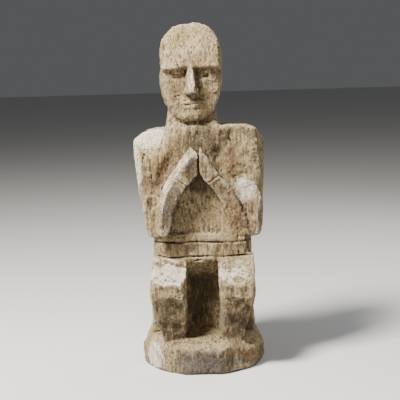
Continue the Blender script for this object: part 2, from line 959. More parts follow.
@dataclass(frozen=True)
class Scoop:
    """One shallow dished cut of an adze or knife."""

    at: Vector
    out: Vector
    radius: float
    depth: float

    def cut(self, block: Block) -> None:
        """Takes the scoop out of the block.

        Args:
            block: the block of wood.
        """
        reach = math.sqrt(2 * self.radius * self.depth) * 1.25
        centre = self.at + self.out * (self.radius - self.depth)
        low, high = ([c + s * reach for c in self.at] for s in (-1, 1))
        p = block.patch(low, high, margin=2.0)
        dish = np.maximum(p.ball(tuple(centre), (self.radius,) * 3),
                          p.ball(tuple(self.at), (reach,) * 3))
        block.cut(p, dish, soft=0.4)

    def clear(self, block: Block) -> bool:
        """Tells whether the air before and beside the cut is open, as an adze needs.

        Args:
            block: the block of wood.

        Returns:
            True where the cut can be made.
        """
        reach = math.sqrt(2 * self.radius * self.depth)
        side = self.out.orthogonal().normalized()
        other = self.out.cross(side)
        around = [self.at + self.out * 1.6 + a * reach for a in (side, -side, other, -other)]
        places = np.array([tuple(self.at + self.out * 10), *map(tuple, around)])
        gaps = block.sample(block.distance, places)
        return bool(gaps[0] > 8.0 and gaps[1:].min() > 0.6)


@dataclass
class Seat(Assembly):
    """The block that the figure sits on, with the hips and the slot between the legs."""

    finishes: dict[str, Finish] = field(
        default_factory=lambda: {"seat_block": CRUSTED, "hips": CRUSTED})
    rounding: float = 3.5
    slot_round: float = 5.0
    floor_rise: float = 7.0

    def hew(self, block: Block) -> None:
        """Adds the seat and the hips above it.

        Args:
            block: the block of wood.
        """
        seat, hips = Extent.of("seat_block"), Extent.of("hips")
        radius = Extent.of("base").high[0] - 8
        p = block.patch(seat.low, hips.high)
        across = np.sqrt(p.x**2 + p.y**2) - radius
        top, foot = hips.high[2] + 6, seat.low[2] - 10
        step = seat.high[2]
        lean = (seat.high[0] - hips.high[0]) * 0.5
        parts = [across, p.face((0, -1, 0), (0, hips_front(), 0)),
                 p.face((0, 1, 0.03), (0, seat.high[1], step)),
                 p.face((0, 0, 1), (0, 0, top)), p.face((0, 0, -1), (0, 0, foot))]
        for side in (1, -1):
            parts.append(p.face((side, 0, 0.06), (side * (seat.high[0] - lean), 0, step)))
        block.add(p, soft_max(*parts, soft=self.rounding))

    def carve(self, block: Block) -> None:
        """Leaves the sloping lip at the top of the slot and the rising floor at its foot.

        Args:
            block: the block of wood.
        """
        hips = Extent.of("hips")
        half = Extent.of("left_thigh").low[0]
        seat = Extent.of("seat_block")
        p = block.patch((-half, hips.low[1] - 6, seat.low[2] - 4), (half, 0, hips.high[2]))
        lip = soft_max(p.face((0, -1, 0), (0, hips.low[1] + 2, 0)),
                       p.face((0, -27, -25), (0, hips.low[1] + 2, hips.high[2] - 6)),
                       np.abs(p.x) - half - 4, p.face((0, 0, 1), (0, 0, hips.high[2] + 4)),
                       p.y + 12, soft=4.0)
        block.add(p, lip, soft=3.0)
        floor = soft_max(p.face((0, -0.5, 1), (0, seat.low[1] - 6, seat.low[2] + 1)),
                         p.face((0, 0, 1), (0, 0, seat.low[2] + self.floor_rise)),
                         np.abs(p.x) - half - 4, p.y + 12, soft=3.0)
        block.add(p, floor, soft=self.slot_round)

    def claim(self, block: Block) -> None:
        """The wood behind the legs, below and above the top of the seat.

        Args:
            block: the block of wood.
        """
        seat, hips = Extent.of("seat_block"), Extent.of("hips")
        z = block.places[2]
        block.claim("seat_block", (z >= seat.low[2]) & (z < seat.high[2]))
        block.claim("hips", (z >= seat.high[2]) & (z < hips.high[2]))


def hips_front() -> float:
    """Y of the wall at the back of the slot between the legs."""
    return Extent.of("seat_block").low[1]


@dataclass
class Leg(Assembly):
    """One leg: a thigh that slopes down to a blunt knee, and a shin that falls back below it."""

    side: Side = Side.LEFT
    inset: float = 0.0
    splay: float = 0.0
    rounding: float = 1.8
    inner_bevel: float = 8.0
    outer_bevel: float = 5.0
    knee_blunt: float = 14.0
    foot_back: float = 15.0
    outer_lean: float = 0.06
    reach_out: float = 0.0

    def __post_init__(self) -> None:
        """Names the two pieces."""
        self.thigh = f"{self.side.word}_thigh"
        self.shin = f"{self.side.word}_shin"
        self.finishes = {self.thigh: CRUSTED, self.shin: CRUSTED}

    def hew(self, block: Block) -> None:
        """Adds the leg as one mass cut by flat faces.

        Args:
            block: the block of wood.
        """
        thigh, shin = Extent.of(self.thigh), Extent.of(self.shin)
        s = self.side.value
        inner = min(abs(thigh.low[0]), abs(thigh.high[0])) + self.inset
        outer = max(abs(thigh.low[0]), abs(thigh.high[0])) + self.reach_out
        front, waist, knee, foot = thigh.low[1], thigh.high[2], thigh.low[2], shin.low[2]
        band_front = Extent.of("waist_band").low[1] - 1
        top_knee, low_knee = knee + self.knee_blunt / 2, knee - self.knee_blunt / 2
        p = block.patch(shin.low, thigh.high)
        parts = [
            p.face((-s, 0, -self.splay), (s * inner, 0, waist)),
            p.face((0, -(waist - top_knee), band_front - front), (0, front, top_knee)),
            p.face((0, -1, 0.12), (0, front, knee)),
            p.face((0, -(low_knee - foot), -self.foot_back), (0, front, low_knee)),
            p.face((s * (low_knee - foot), 0, -(outer - 52)), (s * outer, 0, low_knee)),
            p.face((s, 0, self.outer_lean), (s * outer, 0, knee)),
            p.face((0, 1, 0), (0, 0, 0)),
            p.face((0, 0, 1), (0, 0, waist + 3)),
            p.face((0, 0, -1), (0, 0, foot - 8)),
            p.face((-s * 0.75, -0.7, 0.05), (s * (inner + self.inner_bevel), front, knee)),
            p.face((s * 0.75, -0.6, 0), (s * (outer - self.outer_bevel), front, knee)),
        ]
        block.add(p, soft_max(*parts, soft=self.rounding), soft=2.0)

    def carve(self, block: Block) -> None:
        """Dishes the thigh's top and the knee with broad cuts.

        Args:
            block: the block of wood.
        """
        thigh = Extent.of(self.thigh)
        s = self.side.value
        middle = thigh.middle[0]
        front, waist, knee = thigh.low[1], thigh.high[2], thigh.low[2]
        slope = Vector((0, -0.83, 0.56))
        for x, z, deep in ((middle - 7, waist - 14, 1.4), (middle + 8, waist - 17, 1.2),
                           (middle, waist - 29, 1.5)):
            at = Vector((x, front + (z - knee - 7) * 0.68, z))
            Scoop(at, slope, 46, deep).cut(block)
        for x, z in ((middle - 11, knee - 2), (middle + 1, knee - 1), (middle + 12, knee - 3)):
            Scoop(Vector((x, front, z)), Vector((0, -0.96, 0.2)), 17, 1.7).cut(block)
        for x, z in ((middle - 12, knee - 20), (middle + 3, knee - 16), (middle + 13, knee - 24),
                     (middle - 2, knee - 40), (middle + 9, knee - 46)):
            y = front + (knee - 7 - z) * self.foot_back / 53
            Scoop(Vector((x, y, z)), Vector((s * 0.1, -0.95, -0.3)), 22, 1.8).cut(block)

    def claim(self, block: Block) -> None:
        """The wood before the slot's back wall, on the leg's side.

        Args:
            block: the block of wood.
        """
        thigh, shin = Extent.of(self.thigh), Extent.of(self.shin)
        x, y, z = block.places
        s = self.side.value
        inner = min(abs(thigh.low[0]), abs(thigh.high[0]))
        here = (s * x > inner - 1.5) & (y < hips_front())
        block.claim(self.shin, here & (z >= shin.low[2]) & (z < shin.high[2]))
        block.claim(self.thigh, here & (z >= thigh.low[2]) & (z < thigh.high[2]))


@dataclass
class Waist(Assembly):
    """The band round the waist, between two cut lines."""

    finishes: dict[str, Finish] = field(default_factory=lambda: {"waist_band": CRUSTED})
    groove: float = 2.4
    depth: float = 2.6
    rounding: float = 3.0

    def hew(self, block: Block) -> None:
        """Adds the band.

        Args:
            block: the block of wood.
        """
        size = Extent.of("waist_band")
        p = block.patch(size.low, size.high)
        across = np.sqrt(p.x**2 + p.y**2) - size.high[0] - 10
        parts = [np.abs(p.x - 2.5) - size.high[0], np.abs(p.y) - size.high[1], across]
        walls = soft_max(*parts, soft=10.0)
        ends = [p.face((0, 0, -1), (0, 0, size.low[2] - 6)),
                p.face((0, 0, 1), (0, 0, size.high[2] + 6))]
        block.add(p, soft_max(walls, *ends, soft=self.rounding))

    def incise(self, block: Block) -> None:
        """Cuts the two lines all round.

        Args:
            block: the block of wood.
        """
        size = Extent.of("waist_band")
        chance = block.noise((16, 16, 9), 51)
        for z in (size.low[2] + 1, size.high[2] - 1):
            p = block.patch((*size.low[:2], z - 4), (*size.high[:2], z + 4), margin=2.0)
            here = block.distance[p.where]
            deep = self.depth * np.clip(0.85 + 0.3 * chance[p.where], 0.5, 1.3)
            width = self.groove * np.clip(0.45 + 0.1 * chance[p.where], 0.35, 0.65)
            line = soft_max(np.abs(p.z - z) - width, -here - deep, soft=0.8)
            block.cut(p, line, soft=0.7)

    def claim(self, block: Block) -> None:
        """The wood between the two lines' far sides.

        Args:
            block: the block of wood.
        """
        size = Extent.of("waist_band")
        z = block.places[2]
        block.claim("waist_band", (z >= size.low[2]) & (z < size.high[2]))


@dataclass
class Trunk(Assembly):
    """The trunk and upper arms, one slab with round shoulders, and the neck above it."""

    finishes: dict[str, Finish] = field(default_factory=lambda: {
        "trunk": CRUSTED, "left_upper_arm": CRUSTED, "right_upper_arm": CRUSTED, "neck": CRUSTED})
    log_radius: float = 88.0
    shoulder_round: float = 37.0
    elbow_round: float = 13.0
    edge: float = 4.0
    neck_reach: float = 36.0
    right_elbow: float = 68.5
    left_elbow: float = 79.0
    arm_hollow: float = 4.3
    arm_hollow_radius: float = 270

    def hew(self, block: Block) -> None:
        """Adds the slab, then the neck with clay round its foot.

        Args:
            block: the block of wood.
        """
        left, right = Extent.of("left_upper_arm"), Extent.of("right_upper_arm")
        trunk, neck = Extent.of("trunk"), Extent.of("neck")
        foot, top = trunk.low[2], trunk.high[2]
        p = block.patch((right.low[0], trunk.low[1], foot), (left.high[0], *trunk.high[1:]))
        walls = [np.sqrt(p.x**2 + p.y**2) - self.log_radius,
                 p.face((0, -1, 0), trunk.low), p.face((0, 1, 0.05), trunk.high),
                 p.face((-0.22, -1, 0.32), (-58, trunk.low[1], top - 38))]
        high = left.high[2] - 28
        sides = []
        for side, shoulder, elbow in ((1, left.high[0], self.left_elbow),
                                      (-1, -right.low[0], self.right_elbow)):
            sides.append(p.face((side * (high - foot), 0, elbow - shoulder),
                                (side * shoulder, 0, high)))
        upper = soft_max(p.face((-0.034, 0.05, 1), (0, 0, top - 0.5)), *sides,
                         soft=self.shoulder_round)
        lower = soft_max(p.face((0, 0, -1), (0, 0, foot + 4)), *sides, soft=self.elbow_round)
        arms = soft_max(soft_max(*walls, soft=2.5), np.maximum(upper, lower), soft=self.edge)
        block.add(p, arms)
        core = soft_max(np.abs(p.x) - trunk.high[0] - 8, np.abs(p.y) - trunk.high[1],
                        p.face((0, 0, -1), (0, 0, foot - 6)), p.z - foot - 20, soft=3.0)
        block.add(p, core)
        p = block.patch(neck.low, neck.high, margin=22)
        middle = neck.middle[0]
        half = (neck.high[0] - neck.low[0]) / 2
        plan = (np.abs(p.x - middle) / half) ** 4 + (np.abs(p.y) / self.neck_reach) ** 4
        column = soft_max((np.sqrt(np.sqrt(plan)) - 1) * half, p.z - neck.high[2] - 8,
                          neck.low[2] - 12 - p.z, soft=3.0)
        block.add(p, column, soft=8.0)
        collar = soft_max(p.face((0, -1, 0.5), (0, trunk.low[1], top - 10)),
                          p.face((0, -1, 0), (0, trunk.low[1] + 4, 0)),
                          np.abs(p.x - middle) - half, p.z - neck.high[2] + 2, p.y, soft=4.0)
        block.add(p, collar, soft=7.0)

    def carve(self, block: Block) -> None:
        """Cuts back the belly, the armpits, the spine and the backs of the arms.

        Args:
            block: the block of wood.
        """
        trunk = Extent.of("trunk")
        front, back = trunk.low[1], trunk.high[1]
        foot = trunk.low[2]
        wrist = Extent.of("left_hand").low[2]
        p = block.patch((-60, front - 4, foot), (60, front + 18, wrist + 20))
        arms = [p.face((side * 67, 0, 32), (side * 16, 0, 252)) for side in (1, -1)]
        recess = soft_max(p.face((0, 1, -0.07), (0, front + 6, foot + 12)),
                          p.face((0, 0.5, -1), (0, front, foot + 8)),
                          p.face((0.3, 0.85, 0), (25, front + 4, 0)), *arms, soft=2.5)
        block.cut(p, recess, soft=1.2)
        for side in (-1, 1):
            block.trough([(side * 45, back + 3, foot + 10), (side * 44, back + 3, foot + 60),
                          (side * 46, back + 4, foot + 118)], 8.0, 3.6)
        Scoop(Vector((-80.5, -4, foot + 76)), Vector((-1, 0, -0.12)),
              self.arm_hollow_radius, self.arm_hollow).cut(block)
        block.trough([(-2, back + 3, foot + 16), (1, back + 3, foot + 110)], 8.0, 3.0)

    def claim(self, block: Block) -> None:
        """The slab split at the trunk's sides, and the neck above it.

        Args:
            block: the block of wood.
        """
        trunk, neck = Extent.of("trunk"), Extent.of("neck")
        x, y, z = block.places
        here = (z >= trunk.low[2]) & (z < trunk.high[2] + 4)
        block.claim("trunk", here)
        block.claim("left_upper_arm", here & (x >= trunk.high[0]))
        block.claim("right_upper_arm", here & (x <= trunk.low[0]))
        column = (x > neck.low[0] - 6) & (x < neck.high[0] + 6) & (z >= neck.low[2])
        block.claim("neck", column & (z < neck.high[2]))


@dataclass
class Forearm(Assembly):
    """One forearm and hand, raised from the chest once the belly is cut back."""

    side: Side = Side.LEFT
    path: tuple[Pair, ...] = ((17, 251), (28, 237), (39, 220), (47, 201), (50, 185))
    halves: tuple[float, ...] = (9.5, 9.5, 10.5, 12, 12)
    tip: float = 3.0
    tip_cut: float = 0.0
    palm: float = 5.0
    bevel: float = 6.0
    slant: float = 0.9
    relief: float = 0.0
    sink: float = 0.0

    def __post_init__(self) -> None:
        """Names the two pieces."""
        self.arm = f"{self.side.word}_forearm"
        self.hand = f"{self.side.word}_hand"
        self.finishes = {self.arm: WORN, self.hand: WORN}
        self.front = Extent.of(self.arm).low[1] + self.relief
        self.root = Extent.of(self.arm).high[1]

    def _bar(self, p: Patch) -> np.ndarray:
        """Distance to the forearm, a bar that follows the path.

        Args:
            p: the patch.

        Returns:
            The distance.
        """
        s = self.side.value
        best, across, half = None, None, None
        steps = list(zip(self.path, self.path[1:], self.halves, self.halves[1:]))
        for (ax, az), (bx, bz), ha, hb in steps:
            run = np.array((s * (bx - ax), bz - az))
            size = float(np.hypot(*run))
            dx, dz = p.x - s * ax, p.z - az
            share = np.clip((dx * run[0] + dz * run[1]) / size**2, 0, 1)
            away = np.sqrt((dx - run[0] * share) ** 2 + (dz - run[1] * share) ** 2)
            lateral = s * (dz * run[0] - dx * run[1]) / size
            width = ha + (hb - ha) * share
            if best is None:
                best, across, half = away - width, lateral, width
            else:
                closer = away - width < best
                best = np.where(closer, away - width, best)
                across = np.where(closer, lateral, across)
                half = np.where(closer, width, half)
        (_, high), (_, low) = self.path[0], self.path[-1]
        front = self.front + self.sink * np.clip((high - p.z) / (high - low), 0, 1)
        slope = ((across - half + self.bevel) * self.slant - (p.y - front)) * 0.85
        return soft_max(best, front - p.y, p.y - self.root - 4, slope, soft=0.5)

    def _palm(self, p: Patch) -> np.ndarray:
        """Distance to the hand, closed on the slit between the palms.

        Args:
            p: the patch.

        Returns:
            The distance.
        """
        s = self.side.value
        hand = Extent.of(self.hand)
        slit = min(abs(hand.low[0]), abs(hand.high[0]))
        tip = hand.high[2]
        (wx, wz), (ex, ez) = self.path[0], self.path[1]
        run = Vector((ex - wx, 0, ez - wz)).normalized()
        high = Vector((wx - run.z * self.halves[0], 0, wz + run.x * self.halves[0]))
        low = Vector((wx + run.z * self.halves[0], 0, wz - run.x * self.halves[0]))
        end = Vector((slit + self.tip, 0, tip))
        outer = (end - high).cross(Vector((0, 1, 0)))
        under = (Vector((slit, 0, wz + self.palm)) - low).cross(Vector((0, -1, 0)))

        def flat(normal: Vector, point: Vector) -> np.ndarray:
            """A face of the hand, mirrored to its side."""
            return p.face((s * normal.x, normal.y, normal.z), (s * point.x, point.y, point.z))

        if outer.x < 0:
            outer = -outer
        if under.z > 0:
            under = -under
        slope = Vector(outer).normalized()
        slope = Vector((slope.x * self.slant, -1, slope.z * self.slant))
        inner = high - Vector(outer).normalized() * self.bevel
        inner.y = self.front
        parts = [flat(Vector((-1, 0, 0)), Vector((slit, 0, 0))), flat(outer, high),
                 flat(under, low), flat(run, Vector((wx, 0, wz)) + run * 2),
                 flat(Vector((-self.tip_cut, 0, 1)), Vector((slit + self.tip * 0.8, 0, tip + 1))),
                 flat(slope, inner),
                 self.front - p.y, p.y - self.root - 4]
        return soft_max(*parts, soft=0.5)

    def _beside(self, gap: float) -> Iterator[Triple]:
        """Points on the chest along the arm's upper edge.

        Args:
            gap: their distance from that edge.

        Yields:
            Each point.
        """
        s, chest = self.side.value, Extent.of("trunk").low[1] - 0.5
        yield s * (self.path[0][0] + 6), chest, self.path[0][1] + 30
        for (ax, az), (bx, bz), half in zip(self.path, self.path[1:], self.halves):
            size = math.hypot(bx - ax, bz - az)
            away = (half + gap) / size
            yield s * (ax + (az - bz) * away), chest, az + (bx - ax) * away

    def _patch(self, block: Block) -> Patch:
        """The part of the block that holds the arm and hand."""
        both = Extent.of(self.arm, self.hand)
        return block.patch(both.low, both.high, margin=6.0)

    def carve(self, block: Block) -> None:
        """Raises the arm and hand from the trunk.

        Args:
            block: the block of wood.
        """
        block.trough(list(self._beside(7.0)), 7.0, 3.6)
        p = self._patch(block)
        block.add(p, self._bar(p), soft=0.8)
        block.add(p, self._palm(p), soft=0.3)

    def incise(self, block: Block) -> None:
        """Scores the two lines round the wrist.

        Args:
            block: the block of wood.
        """
        s = self.side.value
        (wx, wz), (ex, ez) = self.path[0], self.path[1]
        run = Vector((ex - wx, 0, ez - wz)).normalized()
        across = Vector((-run.z, 0, run.x)) * (self.halves[0] + 2)
        for along, width, depth in ((0.5, 2.2, 2.3), (5.5, 2.0, 2.0)):
            middle = Vector((wx, self.front, wz)) + run * along
            ends = [middle - across, middle + across]
            line = [(s * e.x, e.y, e.z) for e in ends]
            block.score(line, width, depth, (0, -1, 0))
        edge = list(self._beside(0.6))[:-1]
        block.score(edge, 2.4, 2.6, (s * 0.4, -1, 0.2))

    def claim(self, block: Block) -> None:
        """The raised wood, split at the wrist.

        Args:
            block: the block of wood.
        """
        p = self._patch(block)
        proud = p.y < self.root
        block.claim(self.arm, (self._bar(p) < 0.6) & proud, p)
        block.claim(self.hand, (self._palm(p) < 0.6) & proud, p)


@dataclass
class Head(Assembly):
    """A tall egg with one flat face, a level brow, closed eyes, a wedge nose and closed lips."""

    finishes: dict[str, Finish] = field(default_factory=lambda: {
        "head": CRUSTED, "brow": CRUSTED, "nose": WORN, "lips": CRUSTED})
    temple: float = 0.62
    crown: float = 2.0
    jaw: float = 2.3
    worn_top: float = 2.6
    face_edge: float = 2.6
    eye_out: float = 16.5
    eye_drop: float = 4.0
    eye_wide: float = 9.5
    eye_high: float = 4.6
    socket: float = 4.0
    ledge: float = 5.6

    def _egg(self, p: Patch, swell: np.ndarray | float = 0.0) -> np.ndarray:
        """Distance to the head before its features are cut.

        Args:
            p: the patch.
            swell: how far the surface is moved outward.

        Returns:
            The distance.
        """
        head = Extent.of("head")
        (low_x, front, chin), (high_x, back, crown) = head.low, head.high
        crown -= self.worn_top
        half, tall, middle = (high_x - low_x) / 2, crown - chin, head.middle[0]
        x = np.abs(p.x - middle) / half
        t = (p.z - chin) / tall - self.temple
        rise = np.clip(t / (1 - self.temple), 0, None)
        upper = (x**self.crown + rise**self.crown) ** (1 / self.crown)
        fall = np.clip(-t / self.temple, 0, None)
        lower = (x**self.jaw + fall**self.jaw) ** (1 / self.jaw)
        outline = (np.maximum(upper, lower) - 1) * half
        t = (p.z - chin - 60) / (tall - 60)
        vault = np.sqrt((p.y / (back + 3)) ** 2 + np.clip(t, 0, None) ** 2)
        nape = p.face((0, 0.85, -0.35), (0, back - 3, chin + 32))
        plan = np.abs((p.x - middle) / half) ** 3 + np.abs((p.y + 3) / (back + 5)) ** 3
        solid = soft_max(outline, (vault - 1) * back, nape, p.face((0, 1, 0), (0, back, 0)),
                         (np.cbrt(plan) - 1) * half, soft=8.0)
        face = front + 1.5 - p.y + 0.0022 * (p.x - middle) ** 2
        forehead = p.face((0, -1, 0.16), (0, front + 1.5, chin + tall * 0.66))
        jaw = p.face((0, -0.35, -1), (0, front + 2, chin + 3))
        whole = soft_max(solid, soft_max(face, forehead, soft=4.0), jaw, soft=self.face_edge)
        return whole - swell

    def hew(self, block: Block) -> None:
        """Adds the head.

        Args:
            block: the block of wood.
        """
        head = Extent.of("head")
        p = block.patch(head.low, head.high)
        block.add(p, self._egg(p), soft=2.5)

    def _brow(self, p: Patch) -> np.ndarray:
        """Distance to the brow, a ledge that runs up smoothly into the forehead.

        Args:
            p: the patch.

        Returns:
            The distance.
        """
        brow = Extent.of("brow")
        middle, foot = brow.middle[0], brow.low[2] + 2
        rise = np.clip((brow.high[2] + 9 - p.z) / (brow.high[2] + 9 - foot), 0, 1)
        near = np.clip((p.y + 37) / -7, 0, 1)
        near = near * np.clip((46 - np.abs(p.x - middle)) / 12, 0, 1)
        under = p.face((0, -0.5, -1), (0, brow.low[1], foot)) + 0.0016 * (p.x - middle) ** 2
        return soft_max(self._egg(p, self.ledge * rise * near), under, soft=0.8)

    def _nose(self, p: Patch) -> np.ndarray:
        """Distance to the nose, a wedge with a flat ridge and two low wings.

        Args:
            p: the patch.

        Returns:
            The distance.
        """
        nose = Extent.of("nose")
        (low_x, tip, foot), (high_x, _, top) = nose.low, nose.high
        x = np.abs(p.x - nose.middle[0])
        half = (high_x - low_x) / 2
        rise = top - foot
        flank = (x - half + 0.2 + (p.z - foot) * (half - 4.2) / rise) * 0.96
        bevel = (x - half * 0.55 + (p.z - foot) * 0.05 - (p.y - tip) * 0.42) * 0.85
        ridge = p.face((0, -rise, 8.5), (0, tip, foot + 4))
        under = p.face((0, -0.12, -1), (0, tip, foot + 0.5))
        return soft_max(flank, bevel, ridge, under, p.z - top - 4, p.y + 38, soft=2.0)

    def _lips(self, p: Patch) -> np.ndarray:
        """Distance to the lips: an upper and a lower roll that meet on a level line.

        Args:
            p: the patch.

        Returns:
            The distance.
        """
        lips = Extent.of("lips")
        x, _, z = lips.middle
        half = (lips.high[0] - lips.low[0]) / 2 + 1
        face = lips.high[1]
        upper = p.ball((x, face - 1.0, z + 2.4), (half, 4.2, 3.4))
        lower = p.ball((x, face - 1.0, z - 3.0), (half * 0.82, 4.6, 3.9))
        return np.minimum(upper, lower)

    def carve(self, block: Block) -> None:
        """Sinks the eyes, raises the brow, nose and lips, and shapes the chin.

        Args:
            block: the block of wood.
        """
        head, brow, lips = Extent.of("head"), Extent.of("brow"), Extent.of("lips")
        front = head.low[1]
        middle = head.middle[0]
        eye_z = brow.low[2] - self.eye_drop
        p = block.patch((head.low[0], front - 16, head.low[2]),
                        (head.high[0], front + 12, brow.high[2]), margin=6.0)
        for side in (-1, 1):
            x = middle + side * self.eye_out
            block.cut(p, p.ball((x, front, eye_z), (15.5, self.socket + 1.5, 9)), soft=3.0)
            block.cut(p, p.ball((x + side * 3, front - 7.0, eye_z - 29), (11, 10, 17)), soft=5.0)
        block.add(p, self._brow(p), soft=1.5)
        block.add(p, self._nose(p), soft=2.2)
        for side in (-1, 1):
            lid = p.ball((middle + side * self.eye_out, front + 5.0, eye_z),
                         (self.eye_wide, 4.0, self.eye_high))
            block.add(p, lid, soft=2.0)
            wing = p.ball((middle + side * 6.6, front - 4.0, lips.high[2] + 12.5), (3.2, 6.0, 4.4))
            block.add(p, wing, soft=1.5)
        block.add(p, p.ball((middle, front + 8.0, head.low[2] + 11), (16, 10.5, 8)), soft=5.0)
        block.add(p, p.ball((middle, front + 8.0, lips.middle[2]), (18, 9.5, 12)), soft=5.0)
        block.add(p, self._lips(p), soft=0.8)

    def incise(self, block: Block) -> None:
        """Scores the closed lids and the line between the lips.

        Args:
            block: the block of wood.
        """
        head, brow, lips = Extent.of("head"), Extent.of("brow"), Extent.of("lips")
        front, middle = head.low[1], head.middle[0]
        eye_z = brow.low[2] - self.eye_drop - 1.0
        wide = self.eye_wide - 0.5
        for side in (-1, 1):
            x = middle + side * self.eye_out
            line = [(x + share * wide, front + 0.8 + 3.0 * share**2, eye_z - 1.6 * (1 - share**2))
                    for share in (-1, -0.5, 0, 0.5, 1)]
            block.score(line, 1.8, 1.6, (0, -1, 0))
        half, z = (lips.high[0] - lips.low[0]) / 2 + 1.0, lips.middle[2] - 0.3
        line = [(middle + share * half, front - 4.5 + 2.5 * share**2, z)
                for share in (-1, -0.4, 0.4, 1)]
        block.score(line, 2.0, 2.2, (0, -1, 0))

    def claim(self, block: Block) -> None:
        """The head above the neck, then the brow, nose and lips before it.

        Args:
            block: the block of wood.
        """
        head, neck, brow = Extent.of("head"), Extent.of("neck"), Extent.of("brow")
        x, y, z = block.places
        column = (x > neck.low[0]) & (x < neck.high[0]) & (y > neck.low[1])
        clear = z >= head.low[2] + 0.5
        block.claim("head", (z >= neck.high[2]) | (clear & ~column))
        p = block.patch(head.low, head.high)
        proud = p.y < head.low[1] + 0.8
        band = (p.z > brow.low[2] - 1) & (p.z < brow.high[2]) & (self._egg(p) > -0.4)
        block.claim("brow", band & (self._brow(p) < 0.8) & (p.y < head.low[1] + 6), p)
        block.claim("nose", (self._nose(p) < 0.5) & proud, p)
        block.claim("lips", (self._lips(p) < 0.4) & proud, p)


# ---------------------------------------------------------------------------------------------
# Age
# ---------------------------------------------------------------------------------------------


@dataclass(frozen=True)
class Spot:
    """A soft patch of one mask: its middle and half sizes in millimetres, and its strength.

    A level spot lies only on what looks upward, and a front spot only on what looks forward and a
    little to the figure's left.
    """

    mask: Mask
    centre: Triple
    reach: Triple
    strength: float = 1.0
    level: bool = False
    front: bool = False


